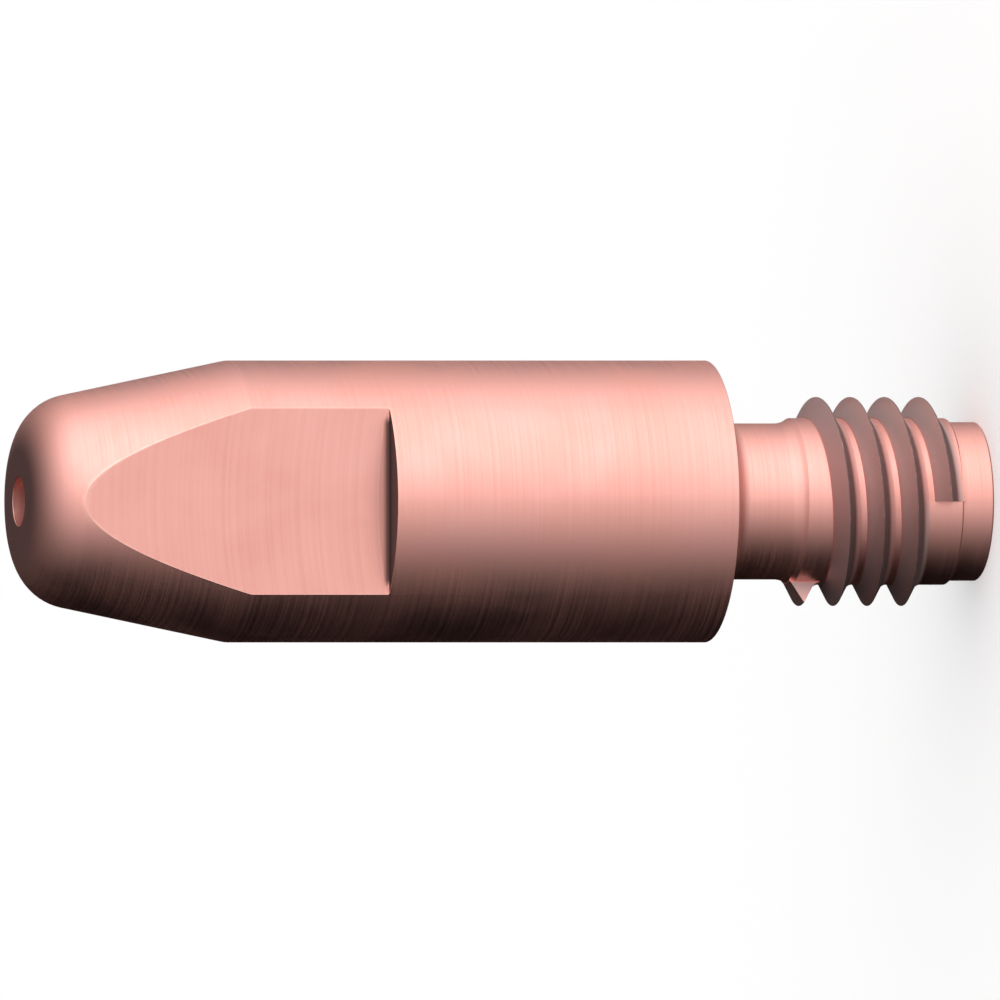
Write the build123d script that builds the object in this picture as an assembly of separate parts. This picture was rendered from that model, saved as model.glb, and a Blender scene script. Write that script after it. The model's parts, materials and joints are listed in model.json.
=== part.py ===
from build123d import *
import math
import os

# A welding contact tip, turned from one copper alloy bar, in millimetres.
# The axis is Z. The face of the threaded end lies on z = 0 and the nose points up.
# The front is the -Y side: one spanner flat faces it and the other faces the back.

# Overall lengths along the axis
tip_length = 28.0
shank_length = 7.9            # threaded end face to the shoulder that seats in the holder

# Body and nose
body_diameter = 8.0
nose_cone_length = 6.05
nose_half_angle = 11.6        # degrees between the cone and the axis
nose_rounding = 1.6           # radius between the cone and the flat nose face

# Bore for a 1.2 mm welding wire
bore_diameter = 1.4
wire_entry_diameter = 2.6
wire_entry_half_angle = 30.0  # degrees

# Spanner flats, milled from the nose end
flats_across = 6.0
flats_length = 10.1
flats_cutter_corner = 0.28

# Thread, M6 with its usual allowance, right-handed and blunt at both ends
thread_diameter = 5.93
thread_pitch = 1.0
thread_depth_share = 0.6      # depth as a share of the pitch, for a 60 degree thread
thread_flank_angle = 30.0     # degrees, from a plane square to the axis
thread_crest_flat = 0.04
thread_root_rounding = 0.15   # radius between each flank and the root
thread_start_gap = 2.69       # from the shoulder down to the first crest
thread_end_land = 0.01        # bare root between the pilot's step and the ridge's foot
thread_end_angle = -90.0      # degrees, where the ridge ends, around the axis from +X
thread_top_land = 0.02        # bare root between the ridge and the neck's ramp

# Neck below the shoulder, and the plain pilot that finds the hole
neck_length = 2.2
neck_relief = 0.15            # how far the neck lies below the thread root
neck_ramp_length = 0.2        # where the neck rises to the thread root
neck_ramp_rounding = 0.65
neck_flare_length = 0.61      # where the neck widens towards the shoulder
neck_flare_angle = 50.0       # degrees from the axis
neck_flare_rounding = 0.4
pilot_length = 0.91
pilot_step = 0.115            # how far the pilot lies below the thread root
pilot_edge_break = 0.05

# Overlaps that only make clean cuts and joins
cut_clearance = 1.0
ridge_skirt = 0.03            # how far the root roundings run on below the thread root
ridge_gap = 0.05              # between one turn of the ridge's foot and the next
ridge_sink = 0.08             # how far the ridge reaches below the neck surface
rounding_share = 0.95         # most of the room beside a corner that a rounding may take up
seam_angle = 155.0            # degrees, the line where the turned surfaces close, clear of cuts

# Sizes that follow from the ones above
body_radius = body_diameter / 2
bore_radius = bore_diameter / 2
thread_radius = thread_diameter / 2
root_radius = thread_radius - thread_depth_share * thread_pitch
ridge_foot_half = (thread_pitch - ridge_gap) / 2
thread_bottom = pilot_length + thread_end_land + ridge_foot_half
thread_rise = shank_length - thread_start_gap - thread_bottom
neck_radius = root_radius - neck_relief
pilot_radius = root_radius - pilot_step
neck_bottom = shank_length - neck_length
flare_bottom = shank_length - neck_flare_length
flare_radius = neck_radius + neck_flare_length * math.tan(math.radians(neck_flare_angle))
root_top = neck_bottom - neck_ramp_length
cone_bottom = tip_length - nose_cone_length
cone_face_radius = body_radius - nose_cone_length * math.tan(math.radians(nose_half_angle))
flats_bottom = tip_length - flats_length


def corner_at(face, radius, height):
    # The corner of a flat outline that lies at this radius and height.
    return face.vertices().sort_by_distance((radius, 0, height))[0]


def rounding_within(room, turn, wanted):
    # The wanted rounding, or a smaller one where the edge beside the corner is short.
    # The outline turns by this many degrees at the corner.
    largest = room / math.tan(math.radians(turn) / 2)
    return min(wanted, rounding_share * largest)


def turned_blank():
    # Everything that the lathe makes apart from the thread and the bore.
    outline = Polyline(
        (0, 0, 0),
        (pilot_radius, 0, 0),
        (pilot_radius, 0, pilot_length),
        (root_radius, 0, pilot_length),
        (root_radius, 0, root_top),
        (neck_radius, 0, neck_bottom),
        (neck_radius, 0, flare_bottom),
        (flare_radius, 0, shank_length),
        (body_radius, 0, shank_length),
        (body_radius, 0, cone_bottom),
        (cone_face_radius, 0, tip_length),
        (0, 0, tip_length),
        close=True,
    )
    section = make_face(outline)
    section = fillet(corner_at(section, cone_face_radius, tip_length), nose_rounding)
    section = fillet(corner_at(section, neck_radius, flare_bottom), neck_flare_rounding)
    ramp_room = math.hypot(neck_relief, neck_ramp_length)
    ramp_turn = math.degrees(math.atan2(neck_relief, neck_ramp_length))
    ramp_rounding = rounding_within(ramp_room, ramp_turn, neck_ramp_rounding)
    section = fillet(corner_at(section, neck_radius, neck_bottom), ramp_rounding)
    section = chamfer(corner_at(section, pilot_radius, 0), pilot_edge_break)
    return Rot(0, 0, seam_angle) * revolve(section, Axis.Z, 360)


def ridge_section():
    # The ridge cut along the axis. Each flank runs out in an arc that ends just
    # below the thread root, and the foot goes straight down into the neck.
    skirt_radius = root_radius - ridge_skirt
    base_radius = neck_radius - ridge_sink
    crest_half = thread_crest_flat / 2
    flank_slope = math.tan(math.radians(thread_flank_angle))
    flank_half = crest_half + (thread_radius - skirt_radius) * flank_slope
    outline = Polyline(
        (base_radius, 0, -ridge_foot_half),
        (skirt_radius, 0, -ridge_foot_half),
        (skirt_radius, 0, -flank_half),
        (thread_radius, 0, -crest_half),
        (thread_radius, 0, crest_half),
        (skirt_radius, 0, flank_half),
        (skirt_radius, 0, ridge_foot_half),
        (base_radius, 0, ridge_foot_half),
        close=True,
    )
    root_room = ridge_foot_half - flank_half
    rounding = rounding_within(root_room, 90 - thread_flank_angle, thread_root_rounding)
    section = make_face(outline)
    section = fillet(corner_at(section, skirt_radius, -flank_half), rounding)
    return fillet(corner_at(section, skirt_radius, flank_half), rounding)


def thread_ridge():
    # One 60 degree ridge swept along a helix, cut square at both ends. What would
    # hang over the neck's ramp is taken off, so that it always stands on the root.
    path = Helix(thread_pitch, thread_rise, root_radius)
    ridge = sweep(ridge_section(), path=path, is_frenet=True)
    ridge = Pos(0, 0, thread_bottom) * Rot(0, 0, thread_end_angle) * ridge
    neck_room = Cylinder(
        body_radius,
        shank_length,
        align=(Align.CENTER, Align.CENTER, Align.MIN),
    )
    return ridge - Pos(0, 0, root_top - thread_top_land) * neck_room


def wire_bore():
    # The straight bore, with the cone that guides the wire in at the threaded end.
    bore = Cylinder(
        bore_radius,
        tip_length + 2 * cut_clearance,
        align=(Align.CENTER, Align.CENTER, Align.MIN),
    )
    entry_radius = wire_entry_diameter / 2
    entry_slope = math.tan(math.radians(wire_entry_half_angle))
    entry_depth = (entry_radius - bore_radius) / entry_slope
    entry = Cone(
        entry_radius,
        bore_radius,
        entry_depth,
        align=(Align.CENTER, Align.CENTER, Align.MIN),
    )
    return Pos(0, 0, -cut_clearance) * bore + entry


def flat_cutter():
    # The stock that the milling cutter takes off the front, down to the flat.
    depth = (body_diameter - flats_across) / 2 + cut_clearance
    width = body_diameter + 2 * cut_clearance
    stock = Box(
        width,
        depth,
        flats_length + cut_clearance,
        align=(Align.CENTER, Align.MAX, Align.MIN),
    )
    inner_edge = stock.edges().filter_by(Axis.X).group_by(Axis.Y)[-1].sort_by(Axis.Z)[0]
    stock = fillet(inner_edge, flats_cutter_corner)
    return Pos(0, -flats_across / 2, flats_bottom) * stock


def contact_tip():
    front = flat_cutter()
    back = Rot(0, 0, 180) * front
    tip = turned_blank() + thread_ridge()
    return tip - wire_bore() - front - back


os.makedirs("parts", exist_ok=True)
export_step(contact_tip(), "parts/contact_tip.step")
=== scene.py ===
import bpy
import json
import math
from mathutils import Matrix, Vector


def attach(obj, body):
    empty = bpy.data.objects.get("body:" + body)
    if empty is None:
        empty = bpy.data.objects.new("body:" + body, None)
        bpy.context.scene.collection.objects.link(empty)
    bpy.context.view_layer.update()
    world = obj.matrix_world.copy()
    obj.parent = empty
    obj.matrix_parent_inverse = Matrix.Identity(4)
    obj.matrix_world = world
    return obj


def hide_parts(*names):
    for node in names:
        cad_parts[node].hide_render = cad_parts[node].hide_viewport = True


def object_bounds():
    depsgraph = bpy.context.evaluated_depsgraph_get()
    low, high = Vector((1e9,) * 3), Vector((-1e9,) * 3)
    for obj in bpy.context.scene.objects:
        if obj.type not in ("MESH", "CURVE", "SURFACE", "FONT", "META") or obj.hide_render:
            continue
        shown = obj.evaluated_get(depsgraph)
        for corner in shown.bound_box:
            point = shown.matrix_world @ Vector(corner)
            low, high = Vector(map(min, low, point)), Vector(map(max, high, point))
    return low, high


# A copper welding contact tip, standing on its threaded end with the nose up.
# It is modelled in millimetres and shrunk to metres once it is finished.

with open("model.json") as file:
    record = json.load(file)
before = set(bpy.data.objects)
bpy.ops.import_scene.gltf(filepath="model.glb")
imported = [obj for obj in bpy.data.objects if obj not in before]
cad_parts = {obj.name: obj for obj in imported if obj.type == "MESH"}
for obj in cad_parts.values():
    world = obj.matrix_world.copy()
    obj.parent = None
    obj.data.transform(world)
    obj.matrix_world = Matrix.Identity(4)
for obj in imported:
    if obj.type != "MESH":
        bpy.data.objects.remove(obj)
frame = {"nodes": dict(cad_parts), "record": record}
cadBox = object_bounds()
mounts = {mount["name"]: mount for mount in frame["record"]["mounts"]}
metresPerMm = 0.001
joinGap = 0.0005            # millimetres, vertices closer than this are one
noiseRange = (0.3, 0.7)     # most of a noise texture lies between these
print("stage: frame loaded with", ", ".join(frame["nodes"]))


# Helpers for working by hand in edit mode

def mountSize(name, size):
    return mounts[name]["dims"][size]


def mountPlace(name, axis):
    # Where a mount lies along X, Y or Z, in millimetres
    return mounts[name]["pos_m"]["XYZ".index(axis)] / metresPerMm


def deselectAll():
    bpy.ops.object.select_all(action="DESELECT")


def useOnly(piece):
    deselectAll()
    piece.select_set(True)
    bpy.context.view_layer.objects.active = piece


def editAll(mode="VERT"):
    bpy.ops.object.mode_set(mode="EDIT")
    bpy.ops.mesh.select_mode(type=mode)
    bpy.ops.mesh.select_all(action="SELECT")


def leaveEditing():
    bpy.ops.object.mode_set(mode="OBJECT")


def applyModifier(piece, name):
    useOnly(piece)
    bpy.ops.object.modifier_apply(modifier=name)


def selectWhere(parts, wanted):
    # Selects the faces, edges or vertices of a mesh that fit a test
    for part in parts:
        part.select = wanted(part)


def startOutline(name, place):
    # A small plane merged to one vertex, which the outline is then drawn from
    deselectAll()
    bpy.ops.mesh.primitive_plane_add(size=1)
    piece = bpy.context.object
    piece.name = name
    piece.data.name = name
    editAll()
    bpy.ops.mesh.merge(type="CENTER")
    bpy.ops.transform.translate(value=(place.x, 0, place.y))
    return piece


def drawOutline(name, corners, arcStep):
    # Corners are (radius, height, rounding). The outline runs through them in order
    # and closes at the first, which stays sharp.
    places = [Vector(corner[:2]) for corner in corners]
    piece = startOutline(name, places[0])
    here = places[0]
    count = len(places)
    for number in range(1, count + 1):
        corner = places[number % count]
        rounding = corners[number % count][2]
        arriving = (corner - places[number - 1]).normalized()
        leaving = (places[(number + 1) % count] - corner).normalized()
        turn = math.atan2(arriving.cross(leaving), arriving.dot(leaving))
        reach = rounding * math.tan(abs(turn) / 2)
        run = corner - arriving * reach - here
        bpy.ops.mesh.extrude_vertices_move(TRANSFORM_OT_translate={"value": (run.x, 0, run.y)})
        if rounding:
            inward = Vector((-arriving.y, arriving.x)) * math.copysign(rounding, turn)
            centre = here + run + inward
            steps = math.ceil(abs(math.degrees(turn)) / arcStep)
            bpy.ops.mesh.spin(
                steps=steps, angle=turn, center=(centre.x, 0, centre.y), axis=(0, 1, 0)
            )
        here = corner + leaving * reach
    bpy.ops.mesh.select_all(action="SELECT")
    bpy.ops.mesh.remove_doubles(threshold=joinGap)
    return piece


# Shader groups that the finishes share. Their coordinates are in millimetres.

def newGroup(name, inputs, outputs):
    group = bpy.data.node_groups.new(name, "ShaderNodeTree")
    for label, kind, value in inputs:
        socket = group.interface.new_socket(label, in_out="INPUT", socket_type=kind)
        if value is not None:
            socket.default_value = value
    for label, kind in outputs:
        group.interface.new_socket(label, in_out="OUTPUT", socket_type=kind)
    return group


class Wiring:
    # Adds nodes to a tree from left to right and links them by socket name

    def __init__(self, tree):
        self.tree = tree
        self.column = 0

    def add(self, kind, **settings):
        node = self.tree.nodes.new(kind)
        node.location = (self.column * 180, 0)
        self.column += 1
        for setting, value in settings.items():
            setattr(node, setting, value)
        return node

    def feed(self, socket, value):
        if isinstance(value, bpy.types.NodeSocket):
            self.tree.links.new(value, socket)
        else:
            socket.default_value = value

    def maths(self, operation, first, second=0.0, third=0.0):
        node = self.add("ShaderNodeMath", operation=operation)
        for socket, value in zip(node.inputs, (first, second, third)):
            self.feed(socket, value)
        return node.outputs[0]

    def remap(self, value, low, high, newLow=0.0, newHigh=1.0):
        node = self.add("ShaderNodeMapRange", interpolation_type="SMOOTHSTEP")
        for label, number in (
            ("Value", value),
            ("From Min", low),
            ("From Max", high),
            ("To Min", newLow),
            ("To Max", newHigh),
        ):
            self.feed(node.inputs[label], number)
        return node.outputs["Result"]

    def blend(self, share, first, second):
        node = self.add("ShaderNodeMix", data_type="RGBA")
        self.feed(node.inputs["Factor"], share)
        self.feed(node.inputs["A"], first)
        self.feed(node.inputs["B"], second)
        return node.outputs["Result"]

    def group(self, group, **values):
        node = self.add("ShaderNodeGroup", node_tree=group)
        for label, value in values.items():
            self.feed(node.inputs[label], value)
        return node.outputs


def toolLinesGroup():
    # The fine ridges that a cutting tool leaves, across the direction Along
    group = newGroup(
        "toolLines",
        [
            ("Along", "NodeSocketFloat", 0.0),
            ("Place", "NodeSocketVector", None),
            ("Pitch", "NodeSocketFloat", 0.1),
            ("Regular", "NodeSocketFloat", 0.4),
        ],
        [("Height", "NodeSocketFloat"), ("Mask", "NodeSocketFloat")],
    )
    wiring = Wiring(group)
    given = wiring.add("NodeGroupInput").outputs
    out = wiring.add("NodeGroupOutput").inputs
    turns = wiring.maths("DIVIDE", given["Along"], given["Pitch"])
    wave = wiring.maths("SINE", wiring.maths("MULTIPLY", turns, 2 * math.pi))
    chatter = wiring.add("ShaderNodeTexNoise", noise_dimensions="1D")
    wiring.feed(chatter.inputs["W"], turns)
    chatter.inputs["Scale"].default_value = 0.9
    chatter.inputs["Detail"].default_value = 3.0
    chatter.inputs["Roughness"].default_value = 0.6
    spread = wiring.remap(chatter.outputs["Fac"], *noiseRange, -1.0, 1.0)
    regular = wiring.maths("MULTIPLY", wave, given["Regular"])
    height = wiring.maths("ADD", regular, spread)
    patches = wiring.add("ShaderNodeTexNoise", noise_dimensions="3D")
    wiring.feed(patches.inputs["Vector"], given["Place"])
    patches.inputs["Scale"].default_value = 0.45
    patches.inputs["Detail"].default_value = 2.0
    faintest = 0.45
    highest = 1.2
    strength = wiring.remap(patches.outputs["Fac"], *noiseRange, faintest, 1.0)
    height = wiring.maths("MULTIPLY", height, strength)
    wiring.feed(out["Height"], height)
    wiring.feed(out["Mask"], wiring.remap(height, -highest, highest))
    return group


def copperToneGroup():
    # The alloy's colour, a little warmer and a little paler in soft clouds
    group = newGroup(
        "copperTone",
        [
            ("Place", "NodeSocketVector", None),
            ("Metal", "NodeSocketColor", (0.8, 0.4, 0.35, 1)),
            ("Warm", "NodeSocketColor", (0.8, 0.38, 0.3, 1)),
            ("Pale", "NodeSocketColor", (0.85, 0.45, 0.39, 1)),
            ("Lines", "NodeSocketFloat", 0.5),
        ],
        [("Color", "NodeSocketColor"), ("Cloud", "NodeSocketFloat")],
    )
    wiring = Wiring(group)
    given = wiring.add("NodeGroupInput").outputs
    out = wiring.add("NodeGroupOutput").inputs
    clouds = wiring.add("ShaderNodeTexNoise", noise_dimensions="3D")
    wiring.feed(clouds.inputs["Vector"], given["Place"])
    clouds.inputs["Scale"].default_value = 0.32
    clouds.inputs["Detail"].default_value = 5.0
    clouds.inputs["Roughness"].default_value = 0.55
    clouds.inputs["Distortion"].default_value = 0.4
    cloudRange = (0.36, 0.66)
    warmShare = 0.8
    paleShare = 0.25
    cloud = wiring.remap(clouds.outputs["Fac"], *cloudRange)
    warming = wiring.maths("MULTIPLY", cloud, warmShare)
    warmed = wiring.blend(warming, given["Metal"], given["Warm"])
    paling = wiring.maths("MULTIPLY", given["Lines"], paleShare)
    paled = wiring.blend(paling, warmed, given["Pale"])
    wiring.feed(out["Color"], paled)
    wiring.feed(out["Cloud"], cloud)
    return group


def edgeWearGroup():
    # Where handling has polished an edge, broken up so that it isn't an even band
    group = newGroup(
        "edgeWear",
        [
            ("Distance", "NodeSocketFloat", 1.0),
            ("Width", "NodeSocketFloat", 0.1),
            ("Place", "NodeSocketVector", None),
        ],
        [("Mask", "NodeSocketFloat")],
    )
    wiring = Wiring(group)
    given = wiring.add("NodeGroupInput").outputs
    out = wiring.add("NodeGroupOutput").inputs
    rubs = wiring.add("ShaderNodeTexNoise", noise_dimensions="3D")
    wiring.feed(rubs.inputs["Vector"], given["Place"])
    rubs.inputs["Scale"].default_value = 3.2
    rubs.inputs["Detail"].default_value = 3.0
    widthRange = (0.35, 1.25)
    uneven = wiring.remap(rubs.outputs["Fac"], *noiseRange, *widthRange)
    reach = wiring.maths("MULTIPLY", given["Width"], uneven)
    near = wiring.remap(wiring.maths("DIVIDE", given["Distance"], reach), 0.0, 1.0, 1.0, 0.0)
    wiring.feed(out["Mask"], near)
    return group


toolLines = toolLinesGroup()
copperTone = copperToneGroup()
edgeWear = edgeWearGroup()

copper = {
    "metal": (0.860, 0.422, 0.370, 1),
    "warm": (0.840, 0.395, 0.330, 1),
    "pale": (0.885, 0.475, 0.420, 1),
    "worn": (0.885, 0.460, 0.395, 1),
    "turned": {"pitch": 0.11, "regular": 0.35, "roughness": 0.44, "height": 0.00026, "wear": 0.04},
    "threaded": {"pitch": 0.07, "regular": 0.2, "roughness": 0.42, "height": 0.0002, "wear": 0.02},
    "milled": {"pitch": 0.14, "regular": 0.3, "roughness": 0.46, "height": 0.00025, "wear": 0.035},
    "cornered": {"pitch": 0.1, "regular": 0.2, "roughness": 0.6, "height": 0.0004, "wear": 0.04},
    "drilled": {"pitch": 0.09, "regular": 0.5, "roughness": 0.5, "height": 0.0005, "wear": 0.14},
    "cloudRoughness": 0.07,     # how much rougher the clouds are
    "lineRoughness": 0.08,      # and how much smoother the tops of the tool lines
    "wornRoughness": 0.3,
    "filmRoughness": 0.6,
}

# Painted shade and light over the copper: their colour, and the share of it where they are strongest
paintedShading = {
    "tarnish": {"colour": (0.620, 0.455, 0.440, 1), "share": 1.0},      # painted shade on the upper flanks
    "dusk": {"colour": (0.570, 0.395, 0.380, 1), "share": 1.0},         # painted shade on the last turn, and by the shoulder
    "veil": {"colour": (0.740, 0.550, 0.530, 1), "share": 0.7},         # painted light: a paler, greyer tint in the thread's root
    "grime": {"colour": (0.215, 0.152, 0.148, 1), "share": 1.0},        # painted shade on the lower flanks and the crest
    "residue": {"colour": (0.100, 0.080, 0.080, 1), "share": 1.0},      # painted shade on the wall at the flats' end
    "smear": {"colour": (0.080, 0.040, 0.038, 1), "share": 1.0},        # painted shade up the corner beside it
    "scorch": {"colour": (0.200, 0.105, 0.095, 1), "share": 0.95},      # painted shade on the nose, and on the step above the pilot
}


def copperFinish(name, finish, along, edgeDistance, *layers):
    # One finish of the same copper. The two functions give, in millimetres, the way
    # that the tool travelled and how far a point lies from the nearest worn edge.
    # Each layer is a colour of painted shade or light and a function for how strong it is, from 0 to 1.
    material = bpy.data.materials.new(name)
    material.use_nodes = True
    wiring = Wiring(material.node_tree)
    shader = material.node_tree.nodes["Principled BSDF"]
    place = wiring.add("ShaderNodeTexCoord").outputs["Object"]
    inMm = wiring.add("ShaderNodeMapping", vector_type="POINT")
    inMm.inputs["Scale"].default_value = (1 / metresPerMm,) * 3
    wiring.feed(inMm.inputs["Vector"], place)
    place = inMm.outputs["Vector"]
    apart = wiring.add("ShaderNodeSeparateXYZ")
    wiring.feed(apart.inputs[0], place)
    x, y, z = apart.outputs
    radius = wiring.maths("SQRT", wiring.maths("MULTIPLY_ADD", x, x, wiring.maths("MULTIPLY", y, y)))
    lines = wiring.group(
        toolLines,
        Along=along(wiring, x, y, z, radius),
        Place=place,
        Pitch=finish["pitch"],
        Regular=finish["regular"],
    )
    tone = wiring.group(
        copperTone,
        Place=place,
        Metal=copper["metal"],
        Warm=copper["warm"],
        Pale=copper["pale"],
        Lines=lines["Mask"],
    )
    worn = wiring.group(
        edgeWear,
        Distance=edgeDistance(wiring, x, y, z, radius),
        Width=finish["wear"],
        Place=place,
    )["Mask"]
    colour = tone["Color"]
    cloudy = copper["cloudRoughness"]
    lined = copper["lineRoughness"]
    least = finish["roughness"] - cloudy / 2 + lined / 2
    rough = wiring.maths("MULTIPLY_ADD", tone["Cloud"], cloudy, least)
    rough = wiring.maths("MULTIPLY_ADD", lines["Mask"], -lined, rough)
    # Painted shade and light go over the copper's colour and make it duller
    for paintedLayer, layerMask in layers:
        share = wiring.maths("MULTIPLY", layerMask(wiring, x, y, z, radius), paintedLayer["share"])
        colour = wiring.blend(share, colour, paintedLayer["colour"])
        duller = wiring.maths("SUBTRACT", copper["filmRoughness"], rough)
        rough = wiring.maths("MULTIPLY_ADD", share, duller, rough)
    wiring.feed(shader.inputs["Base Color"], wiring.blend(worn, colour, copper["worn"]))
    smoother = wiring.maths("SUBTRACT", copper["wornRoughness"], rough)
    wiring.feed(shader.inputs["Roughness"], wiring.maths("MULTIPLY_ADD", worn, smoother, rough))
    shader.inputs["Metallic"].default_value = 1.0
    bump = wiring.add("ShaderNodeBump")
    bump.inputs["Strength"].default_value = 1.0
    bump.inputs["Distance"].default_value = finish["height"] * metresPerMm
    wiring.feed(bump.inputs["Height"], lines["Height"])
    wiring.feed(shader.inputs["Normal"], bump.outputs["Normal"])
    return material


# The blank: all that the lathe makes, apart from the thread

blank = {
    "facets": 192,              # around the axis
    "arcStep": 6.0,             # degrees between the points of a rounding
    "length": round((cadBox[1].z - cadBox[0].z) / metresPerMm, 3),
    "boreRadius": mountSize("wire_bore", "r_mm"),
    "entryRadius": 1.3,
    "entryHalfAngle": 30.0,
    "pilotRadius": mountSize("pilot", "r_mm"),
    "pilotLength": mountSize("pilot", "length_mm"),
    "pilotChamfer": 0.05,
    "pilotRim": 0.05,           # rounding of the step above the pilot
    "pilotFilmRise": 0.02,      # how far above the pilot the painted shade on that step lies
    "threadDepth": 0.6,
    "neckRelief": 0.15,
    "neckLength": 2.25,
    "rampLength": 0.2,          # where the neck rises to the thread root
    "rampRounding": 0.72,
    "flareLength": 0.61,        # where the neck widens towards the shoulder
    "flareAngle": 50.0,         # degrees from the axis
    "flareRounding": 0.4,
    "shoulderHeight": mountPlace("seat_shoulder", "Z"),
    "bodyRadius": 4.0,
    "coneLength": 6.05,
    "coneHalfAngle": 11.6,
    "noseRounding": 1.6,
    "coneBlend": 0.8,           # rounding where the cone runs out into the body
    "edgeBreak": 0.03,          # on the edges that a file has just touched
    "fineBreak": 0.02,
}
crestRadius = mountSize("thread", "r_mm")
rootRadius = crestRadius - blank["threadDepth"]
neckRadius = rootRadius - blank["neckRelief"]
neckBottom = blank["shoulderHeight"] - blank["neckLength"]
flareBottom = blank["shoulderHeight"] - blank["flareLength"]
coneBottom = blank["length"] - blank["coneLength"]
coneSlope = math.tan(math.radians(blank["coneHalfAngle"]))
flatReach = -mountPlace("spanner_flat_front", "Y")


def turnBlank():
    entrySlope = math.tan(math.radians(blank["entryHalfAngle"]))
    entryDepth = (blank["entryRadius"] - blank["boreRadius"]) / entrySlope
    coneFaceRadius = blank["bodyRadius"] - blank["coneLength"] * coneSlope
    flareWidth = blank["flareLength"] * math.tan(math.radians(blank["flareAngle"]))
    pilotRadius = blank["pilotRadius"]
    chamfer = blank["pilotChamfer"]
    edgeBreak = blank["edgeBreak"]
    fineBreak = blank["fineBreak"]
    corners = [
        (blank["boreRadius"], entryDepth, 0),
        (blank["entryRadius"], 0, fineBreak),
        (pilotRadius - chamfer, 0, fineBreak),
        (pilotRadius, chamfer, fineBreak),
        (pilotRadius, blank["pilotLength"], 0),
        (rootRadius, blank["pilotLength"], blank["pilotRim"]),
        (rootRadius, neckBottom - blank["rampLength"], 0),
        (neckRadius, neckBottom, blank["rampRounding"]),
        (neckRadius, flareBottom, blank["flareRounding"]),
        (neckRadius + flareWidth, blank["shoulderHeight"], fineBreak),
        (blank["bodyRadius"], blank["shoulderHeight"], edgeBreak),
        (blank["bodyRadius"], coneBottom, blank["coneBlend"]),
        (coneFaceRadius, blank["length"], blank["noseRounding"]),
        (blank["boreRadius"], blank["length"], fineBreak),
    ]
    piece = drawOutline("contactTip", corners, blank["arcStep"])
    bpy.ops.mesh.spin(
        steps=blank["facets"], angle=2 * math.pi, center=(0, 0, 0), axis=(0, 0, 1)
    )
    bpy.ops.mesh.select_all(action="SELECT")
    bpy.ops.mesh.remove_doubles(threshold=joinGap)
    bpy.ops.mesh.normals_make_consistent(inside=False)
    leaveEditing()
    return piece


# The thread: one ridge on a helix, cut square at both ends

ridge = {
    "pitch": 1.0,
    "firstCrest": 1.415,        # height of the crest where the ridge starts
    "lastCrest": 5.21,          # and where it stops, near the neck
    "startAngle": -90.0,        # degrees round the axis from +X
    "flankAngle": 30.0,
    "crestFlat": 0.02,
    "crestRounding": 0.008,
    "lowerRounding": 0.39,      # the tool leaves a wide rounding below each turn
    "upperRounding": 0.03,      # and a tight one above it
    "lowerFoot": 0.598,         # how far the ridge's foot reaches down from the crest
    "upperFoot": 0.39,
    "skirt": 0.01,              # how far the roundings run on below the root
    "sink": 0.08,               # how far the foot reaches below the neck
    "crestSpared": 0.8,         # share of the wear's width that misses the crest
    "duskyTurns": 1.2,          # how many turns below the last crest are painted darker, as shade
}


def cutRidge():
    skirtRadius = rootRadius - ridge["skirt"]
    baseRadius = neckRadius - ridge["sink"]
    crestHalf = ridge["crestFlat"] / 2
    flankSlope = math.tan(math.radians(ridge["flankAngle"]))
    flankHalf = crestHalf + (crestRadius - skirtRadius) * flankSlope
    corners = [
        (baseRadius, -ridge["lowerFoot"], 0),
        (skirtRadius, -ridge["lowerFoot"], 0),
        (skirtRadius, -flankHalf, ridge["lowerRounding"]),
        (crestRadius, -crestHalf, ridge["crestRounding"]),
        (crestRadius, crestHalf, ridge["crestRounding"]),
        (skirtRadius, flankHalf, ridge["upperRounding"]),
        (skirtRadius, ridge["upperFoot"], 0),
        (baseRadius, ridge["upperFoot"], 0),
    ]
    piece = drawOutline("threadRidge", corners, 2 * blank["arcStep"])
    bpy.ops.transform.translate(value=(0, 0, ridge["firstCrest"]))
    leaveEditing()
    rise = ridge["lastCrest"] - ridge["firstCrest"]
    turns = rise / ridge["pitch"]
    screw = piece.modifiers.new("helix", "SCREW")
    screw.axis = "Z"
    screw.angle = turns * 2 * math.pi
    screw.screw_offset = rise
    screw.iterations = 1
    screw.steps = round(turns * blank["facets"])
    screw.render_steps = screw.steps
    applyModifier(piece, "helix")
    editAll("EDGE")
    bpy.ops.mesh.fill_holes(sides=0)
    bpy.ops.mesh.select_all(action="SELECT")
    bpy.ops.mesh.normals_make_consistent(inside=False)
    leaveEditing()
    piece.rotation_euler.z = math.radians(ridge["startAngle"])
    bpy.ops.object.transform_apply(rotation=True)
    return piece


# The spanner flats: a milling cutter's block of stock, taken off twice

flats = {
    "length": 10.1,
    "cutterCorner": 0.06,
    "cornerSteps": 4,
    "clearance": 1.0,
    "lineBow": 0.035,           # how strongly the cutter's lines bow
}
flatsBottom = blank["length"] - flats["length"]


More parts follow.
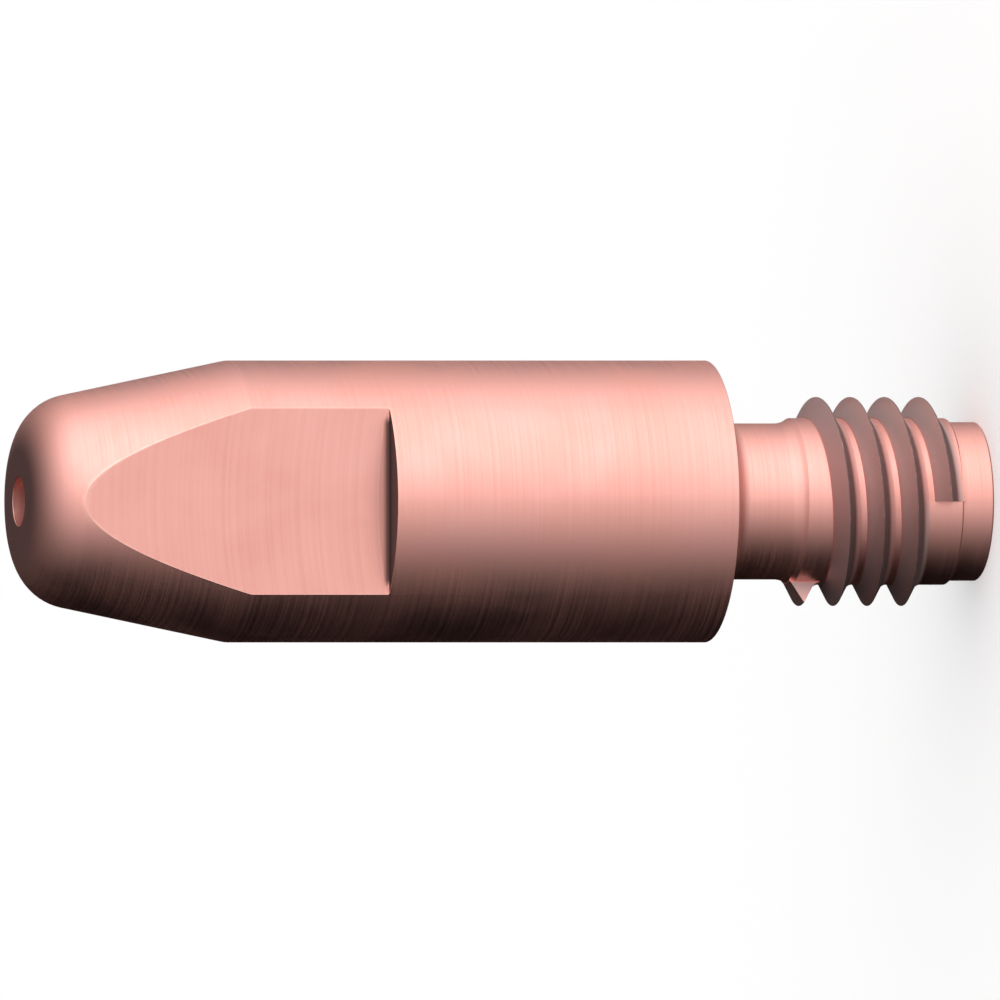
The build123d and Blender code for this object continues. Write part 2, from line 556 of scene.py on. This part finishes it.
def millingCutter(name, turn):
    depth = blank["bodyRadius"] + flats["clearance"] - flatReach
    width = 2 * (blank["bodyRadius"] + flats["clearance"])
    height = flats["length"] + flats["clearance"]
    deselectAll()
    bpy.ops.mesh.primitive_cube_add(
        size=1, location=(0, -flatReach - depth / 2, flatsBottom + height / 2)
    )
    piece = bpy.context.object
    piece.name = name
    piece.scale = (width, depth, height)
    bpy.ops.object.transform_apply(location=True, rotation=False, scale=True)
    editAll("EDGE")
    bpy.ops.mesh.select_all(action="DESELECT")
    leaveEditing()
    vertices = piece.data.vertices
    corner = Vector((0, -flatReach, flatsBottom))
    selectWhere(
        piece.data.edges,
        lambda edge: all(abs(vertices[v].co.y - corner.y) < joinGap for v in edge.vertices)
        and all(abs(vertices[v].co.z - corner.z) < joinGap for v in edge.vertices),
    )
    bpy.ops.object.mode_set(mode="EDIT")
    bpy.ops.mesh.bevel(
        offset=flats["cutterCorner"], segments=flats["cornerSteps"], profile=0.5, affect="EDGES"
    )
    leaveEditing()
    piece.rotation_euler.z = turn
    bpy.ops.object.transform_apply(rotation=True)
    return piece


def combine(piece, tool, operation):
    # Joins or cuts with another piece, which is then thrown away
    boolean = piece.modifiers.new("combine", "BOOLEAN")
    boolean.operation = operation
    boolean.solver = "EXACT"
    boolean.material_mode = "TRANSFER"
    boolean.object = tool
    applyModifier(piece, "combine")
    bpy.data.objects.remove(tool)


def wearMaterial(piece, material):
    piece.data.materials.clear()
    piece.data.materials.append(material)


def wearWhere(piece, material, wanted):
    # Gives a further material to the faces that fit a test
    piece.data.materials.append(material)
    slot = len(piece.data.materials) - 1
    for face in piece.data.polygons:
        if wanted(face):
            face.material_index = slot


def sharpenBorder(piece, material):
    # Marks the outline of a material's faces as sharp
    slot = piece.data.materials.find(material.name)
    useOnly(piece)
    editAll("FACE")
    bpy.ops.mesh.select_all(action="DESELECT")
    leaveEditing()
    selectWhere(piece.data.polygons, lambda face: face.material_index == slot)
    bpy.ops.object.mode_set(mode="EDIT")
    bpy.ops.mesh.region_to_loop()
    bpy.ops.mesh.mark_sharp()
    leaveEditing()


def openEdges(piece):
    useOnly(piece)
    editAll("EDGE")
    bpy.ops.mesh.select_all(action="DESELECT")
    bpy.ops.mesh.select_non_manifold()
    leaveEditing()
    return sum(edge.select for edge in piece.data.edges)


# Where the tool lines, the worn edges and the painted shade and light lie. Each
# function gets a point's place and its radius, in millimetres. A painted layer's reach is
# where it starts and ends, measured from the place named beside it, and how strong it is at both, from 0
# to 1.

shadingReach = {
    "noseDepth": (-1.2, -0.8, 0.0, 1.0),            # from the nose face
    "noseRadius": (1.35, 2.95, 1.0, 0.0),           # from the axis
    "pilotStep": (0.01, 0.035, 0.7, 0.0),           # above and below the film's own height
    "flareRise": (0.05, 0.25, 0.0, 1.0),            # from the flare's bottom
    "shoulderGap": (-0.1, 0.0, 1.0, 0.0),           # from the shoulder
    "lastFlank": (-0.01, 0.05, 0.0, 1.0),           # from the thread root
    "upperFlank": (0.05, blank["threadDepth"], 1.0, 0.5),
    "lowerRoot": (0.0, 0.04, 0.0, 1.0),
    "lowerFlank": (0.03, 0.2, 0.0, 1.0),
    "flatRise": (0.0, 0.22, 1.0, 0.0),              # from the wall at the flat's end
    "flatSide": (2.2, 2.45, 1.0, 0.0),              # from the flat's middle
    "wallRim": (0.0, 0.1, 0.7, 1.0),                # from the rim of that wall, inwards
}
stepShadeHeight = blank["pilotLength"] + blank["pilotFilmRise"]


def paintedAmount(wiring, place, start, reach):
    low, high, lowAmount, highAmount = shadingReach[reach]
    return wiring.remap(place, start + low, start + high, lowAmount, highAmount)


def alongLathe(wiring, x, y, z, radius):
    # Rings that step with the height on the sides and with the radius on the end faces
    return wiring.maths("SUBTRACT", z, radius)


def latheEdges(wiring, x, y, z, radius):
    # The shoulder's rim, and the cylinder beside each spanner flat
    rise = wiring.maths("ABSOLUTE", wiring.maths("SUBTRACT", z, blank["shoulderHeight"]))
    inward = wiring.maths("SUBTRACT", blank["bodyRadius"], radius)
    rim = wiring.maths("MAXIMUM", rise, inward)
    beside = wiring.maths("SUBTRACT", flatReach, wiring.maths("ABSOLUTE", y))
    below = wiring.maths("SUBTRACT", flatsBottom, z)
    flatEdge = wiring.maths("MAXIMUM", beside, below)
    return wiring.maths("MINIMUM", rim, flatEdge)


def latheShadeMask(wiring, x, y, z, radius):
    # Painted shade on the nose, thinner away from its middle, and on the step above the pilot
    end = paintedAmount(wiring, z, blank["length"], "noseDepth")
    nose = wiring.maths("MULTIPLY", end, paintedAmount(wiring, radius, 0, "noseRadius"))
    apart = wiring.maths("ABSOLUTE", wiring.maths("SUBTRACT", z, stepShadeHeight))
    return wiring.maths("MAXIMUM", nose, paintedAmount(wiring, apart, 0, "pilotStep"))


def flareShadeMask(wiring, x, y, z, radius):
    # Painted shade in the corner below the shoulder
    above = paintedAmount(wiring, z, flareBottom, "flareRise")
    below = paintedAmount(wiring, z, blank["shoulderHeight"], "shoulderGap")
    return wiring.maths("MULTIPLY", above, below)


def alongRidge(wiring, x, y, z, radius):
    return radius


def ridgeEdges(wiring, x, y, z, radius):
    # The crest is worn in patches only
    inward = wiring.maths("SUBTRACT", crestRadius, radius)
    return wiring.maths("ADD", inward, copper["threaded"]["wear"] * ridge["crestSpared"])


def flankShadeMask(wiring, x, y, z, radius):
    # Painted shade on the flanks, and the root stays brighter
    return paintedAmount(wiring, radius, rootRadius, "lastFlank")


def upperShadeMask(wiring, x, y, z, radius):
    # The same painted shade, but lighter towards the crest
    thinner = paintedAmount(wiring, radius, rootRadius, "upperFlank")
    return wiring.maths("MULTIPLY", flankShadeMask(wiring, x, y, z, radius), thinner)


def rootLightMask(wiring, x, y, z, radius):
    # Painted light: a paler tint starting just above the root
    return paintedAmount(wiring, radius, rootRadius, "lowerRoot")


def lowerShadeMask(wiring, x, y, z, radius):
    # Painted shade, which thins out down the wide rounding
    return paintedAmount(wiring, radius, rootRadius, "lowerFlank")


def alongMill(wiring, x, y, z, radius):
    # A side mill leaves wide arcs that bow a little towards the nose
    bow = wiring.maths("MULTIPLY", wiring.maths("MULTIPLY", x, x), flats["lineBow"])
    return wiring.maths("ADD", z, bow)


def millEdges(wiring, x, y, z, radius):
    # How far the body's own surface lies outside the flat at this height
    up = wiring.maths("MAXIMUM", wiring.maths("SUBTRACT", z, coneBottom), 0.0)
    surface = wiring.maths("SUBTRACT", blank["bodyRadius"], wiring.maths("MULTIPLY", up, coneSlope))
    return wiring.maths("SUBTRACT", surface, radius)


def cornerShadeMask(wiring, x, y, z, radius):
    # Painted shade up the corner that the cutter leaves, and gone near the flat's two sides
    up = paintedAmount(wiring, z, flatsBottom, "flatRise")
    across = paintedAmount(wiring, wiring.maths("ABSOLUTE", x), 0, "flatSide")
    return wiring.maths("MULTIPLY", up, across)


def alongWall(wiring, x, y, z, radius):
    return y


def wallEdges(wiring, x, y, z, radius):
    return wiring.maths("SUBTRACT", blank["bodyRadius"], radius)


def wallShadeMask(wiring, x, y, z, radius):
    # Painted shade, darkest in the corner, lighter towards the rim
    return paintedAmount(wiring, wallEdges(wiring, x, y, z, radius), 0, "wallRim")


def alongDrill(wiring, x, y, z, radius):
    return z


def drillEdges(wiring, x, y, z, radius):
    low = wiring.maths("SUBTRACT", blank["length"], z)
    return wiring.maths("MINIMUM", low, z)


# Making the tip, in the order of the workshop: turn, thread, mill, then finish each surface

facing = {
    "upperFlank": 0.3,          # the Z of a face's normal is above this
    "lowerFlank": -0.05,        # below this
    "endFace": 0.9,             # above this, up or down
    "flatWall": 0.8,            # above this
}
shading = {
    "smoothAngle": 28.0,        # degrees
    "faceWeight": 90,
}


def faceRadius(face):
    return math.hypot(face.center.x, face.center.y)


def finishThread(thread):
    # Painted shade: the last turn is darker on top, and the crest and the lower flanks are painted dark
    threaded = copperFinish(
        "threadedCopper", copper["threaded"], alongRidge, ridgeEdges, (paintedShading["tarnish"], upperShadeMask)
    )
    wearMaterial(thread, threaded)
    topShaded = copperFinish(
        "duskyCopper", copper["threaded"], alongRidge, ridgeEdges, (paintedShading["dusk"], flankShadeMask)
    )
    shadedFrom = ridge["lastCrest"] - ridge["duskyTurns"] * ridge["pitch"]
    wearWhere(
        thread,
        topShaded,
        lambda face: face.normal.z > facing["upperFlank"] and face.center.z > shadedFrom,
    )
    flankShaded = copperFinish(
        "grimyCopper",
        copper["threaded"],
        alongRidge,
        ridgeEdges,
        (paintedShading["veil"], rootLightMask),
        (paintedShading["grime"], lowerShadeMask),
    )
    crestInside = crestRadius - 2 * ridge["crestRounding"]
    wearWhere(
        thread,
        flankShaded,
        lambda face: face.normal.z < facing["lowerFlank"] or faceRadius(face) > crestInside,
    )


def millFlats(piece):
    milled = copperFinish(
        "milledCopper", copper["milled"], alongMill, millEdges, (paintedShading["smear"], cornerShadeMask)
    )
    for name, turn in (("frontCutter", 0.0), ("backCutter", math.pi)):
        cutter = millingCutter(name, turn)
        wearMaterial(cutter, milled)
        combine(piece, cutter, "DIFFERENCE")
    sharpenBorder(piece, milled)


def finishBore(piece):
    drilled = copperFinish("drilledCopper", copper["drilled"], alongDrill, drillEdges)
    wearWhere(
        piece,
        drilled,
        lambda face: faceRadius(face) < blank["entryRadius"]
        and abs(face.normal.z) < facing["endFace"],
    )


def finishWalls(piece):
    # The wall at the flats' end is painted near black, as shade
    cornered = copperFinish(
        "corneredCopper", copper["cornered"], alongWall, wallEdges, (paintedShading["residue"], wallShadeMask)
    )
    wearWhere(
        piece,
        cornered,
        lambda face: face.normal.z > facing["flatWall"]
        and abs(face.center.z - flatsBottom) < flats["cutterCorner"] / 4,
    )


def smoothTip(piece):
    useOnly(piece)
    bpy.ops.object.shade_smooth_by_angle(
        angle=math.radians(shading["smoothAngle"]), keep_sharp_edges=True
    )
    weighted = piece.modifiers.new("weighted", "WEIGHTED_NORMAL")
    weighted.keep_sharp = True
    weighted.weight = shading["faceWeight"]
    applyModifier(piece, "weighted")


def makeTip():
    piece = turnBlank()
    # The nose, the step above the pilot and the corner below the shoulder get painted shade
    turned = copperFinish(
        "turnedCopper",
        copper["turned"],
        alongLathe,
        latheEdges,
        (paintedShading["scorch"], latheShadeMask),
        (paintedShading["dusk"], flareShadeMask),
    )
    wearMaterial(piece, turned)
    thread = cutRidge()
    finishThread(thread)
    print("stage: blank turned and thread cut")
    combine(piece, thread, "UNION")
    millFlats(piece)
    print("stage: flats milled")
    finishBore(piece)
    finishWalls(piece)
    smoothTip(piece)
    piece.scale = (metresPerMm,) * 3
    bpy.ops.object.transform_apply(scale=True)
    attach(piece, "root")
    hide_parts("contact_tip")
    return piece


contactTip = makeTip()
print("stage: contact tip has", len(contactTip.data.polygons), "faces and",
      openEdges(contactTip), "open edges")


# Studio: pale floor, even light, and a graded dome all round that only the metal reflects

studio = {
    "floorRadius": 1.0,
    "floorTone": 0.72,
    "floorLift": 0.28,          # added to the floor that the camera sees
    "worldLight": 1.0,
    "brightSide": 51.5,         # degrees from the viewer towards +X, where the dome is brightest
    "brightRise": 5.0,          # and degrees above the floor
    "domeRadius": 0.6,
    "wideLight": 1.67,
    "wideFall": 1.9,            # how fast the dome darkens away from its bright side
    "narrowLight": 0.45,
    "narrowFall": 7.0,
    "domeBlack": 0.025,         # taken off all over
    "keyDistance": 0.075,
    "keySize": 0.075,
    "keyPower": 0.004,
    "keyRise": 0.04,
}
tipMiddle = Vector((0, 0, blank["length"] / 2 * metresPerMm))


def sideways(angle):
    # A direction in the floor's plane, turned from the viewer towards +X
    turn = math.radians(angle)
    return Vector((math.sin(turn), -math.cos(turn), 0))


def hideFrom(piece, camera=True, diffuse=True, glossy=True, shadow=True):
    piece.visible_camera = camera
    piece.visible_diffuse = diffuse
    piece.visible_glossy = glossy
    piece.visible_transmission = camera
    piece.visible_shadow = shadow


def floorMaterial():
    # Pale matt floor. What the camera sees of it is lifted to white, and the tip's
    # shadow stays.
    material = bpy.data.materials.new("paleFloor")
    material.use_nodes = True
    nodes = material.node_tree.nodes
    shader = nodes["Principled BSDF"]
    wiring = Wiring(material.node_tree)
    shader.inputs["Base Color"].default_value = (studio["floorTone"],) * 3 + (1,)
    shader.inputs["Roughness"].default_value = 1.0
    shader.inputs["Specular IOR Level"].default_value = 0.0
    shader.inputs["Emission Color"].default_value = (1, 1, 1, 1)
    path = wiring.add("ShaderNodeLightPath").outputs
    seen = wiring.maths("MAXIMUM", path["Is Camera Ray"], path["Is Glossy Ray"])
    seen = wiring.maths("MAXIMUM", seen, path["Is Transmission Ray"])
    lift = wiring.maths("MULTIPLY", seen, studio["floorLift"])
    wiring.feed(shader.inputs["Emission Strength"], lift)
    return material


def makeFloor():
    deselectAll()
    bpy.ops.mesh.primitive_circle_add(vertices=96, radius=studio["floorRadius"], fill_type="NGON")
    floor = bpy.context.object
    floor.name = "floor"
    wearMaterial(floor, floorMaterial())
    hideFrom(floor, glossy=False)


def domeMaterial():
    # Bright on one side and dark on the other, by the direction from the tip's middle
    material = bpy.data.materials.new("gradedDome")
    material.use_nodes = True
    wiring = Wiring(material.node_tree)
    shader = material.node_tree.nodes["Principled BSDF"]
    shader.inputs["Base Color"].default_value = (0, 0, 0, 1)
    shader.inputs["Roughness"].default_value = 1.0
    shader.inputs["Specular IOR Level"].default_value = 0.0
    shader.inputs["Emission Color"].default_value = (1, 1, 1, 1)
    rise = math.radians(studio["brightRise"])
    light = sideways(studio["brightSide"]) * math.cos(rise) + Vector((0, 0, math.sin(rise)))
    outward = wiring.add("ShaderNodeMapping", vector_type="POINT")
    outward.inputs["Location"].default_value = -tipMiddle
    wiring.feed(outward.inputs["Vector"], wiring.add("ShaderNodeTexCoord").outputs["Object"])
    unit = wiring.add("ShaderNodeVectorMath", operation="NORMALIZE")
    wiring.feed(unit.inputs[0], outward.outputs["Vector"])
    facing = wiring.add("ShaderNodeVectorMath", operation="DOT_PRODUCT")
    wiring.feed(facing.inputs[0], unit.outputs["Vector"])
    facing.inputs[1].default_value = light
    share = wiring.maths("MULTIPLY_ADD", facing.outputs["Value"], 0.5, 0.5)
    wide = wiring.maths("POWER", share, studio["wideFall"])
    narrow = wiring.maths("POWER", share, studio["narrowFall"])
    tone = wiring.maths("MULTIPLY_ADD", wide, studio["wideLight"], -studio["domeBlack"])
    tone = wiring.maths("MULTIPLY_ADD", narrow, studio["narrowLight"], tone)
    wiring.feed(shader.inputs["Emission Strength"], wiring.maths("MAXIMUM", tone, 0.0))
    return material


def makeDome():
    # A sphere hidden from all but reflections
    deselectAll()
    bpy.ops.mesh.primitive_uv_sphere_add(
        segments=96, ring_count=48, radius=studio["domeRadius"], location=tipMiddle
    )
    dome = bpy.context.object
    dome.name = "gradedDome"
    bpy.ops.object.transform_apply(location=True)
    wearMaterial(dome, domeMaterial())
    hideFrom(dome, camera=False, diffuse=False, shadow=False)


def makeLights():
    world = bpy.data.worlds.new("studioWorld")
    world.use_nodes = True
    background = world.node_tree.nodes["Background"]
    background.inputs["Color"].default_value = (1, 1, 1, 1)
    background.inputs["Strength"].default_value = studio["worldLight"]
    bpy.context.scene.world = world
    place = sideways(studio["brightSide"]) * studio["keyDistance"]
    place.z = studio["keyRise"]
    deselectAll()
    bpy.ops.object.light_add(type="AREA", location=place)
    key = bpy.context.object
    key.name = "keyLamp"
    key.data.shape = "DISK"
    key.data.size = studio["keySize"]
    key.data.energy = studio["keyPower"]
    key.rotation_euler = (tipMiddle - place).to_track_quat("-Z", "Y").to_euler()
    hideFrom(key, camera=False, glossy=False)


# Camera: the photo's view, with the nose to the left, seen from a little above the floor

view = {
    "elevation": 14.3,
    "frameWidth": 0.028369,
    "aim": (0.000042, 0.0, 0.013906),
    "distance": 0.3,
}


def makeCamera():
    tilt = math.radians(view["elevation"])
    back = Vector((0, -math.cos(tilt), math.sin(tilt)))
    up = Vector((1, 0, 0))
    right = up.cross(back)
    bpy.ops.object.camera_add()
    camera = bpy.context.object
    camera.data.type = "ORTHO"
    camera.data.ortho_scale = view["frameWidth"]
    camera.data.clip_start = 0.001
    camera.data.clip_end = 5.0
    camera.location = Vector(view["aim"]) + back * view["distance"]
    camera.rotation_euler = Matrix((right, up, back)).transposed().to_euler()
    bpy.context.scene.camera = camera


makeFloor()
makeDome()
makeLights()
makeCamera()
bpy.context.scene.view_settings.view_transform = "Standard"
print("stage: studio and camera set")
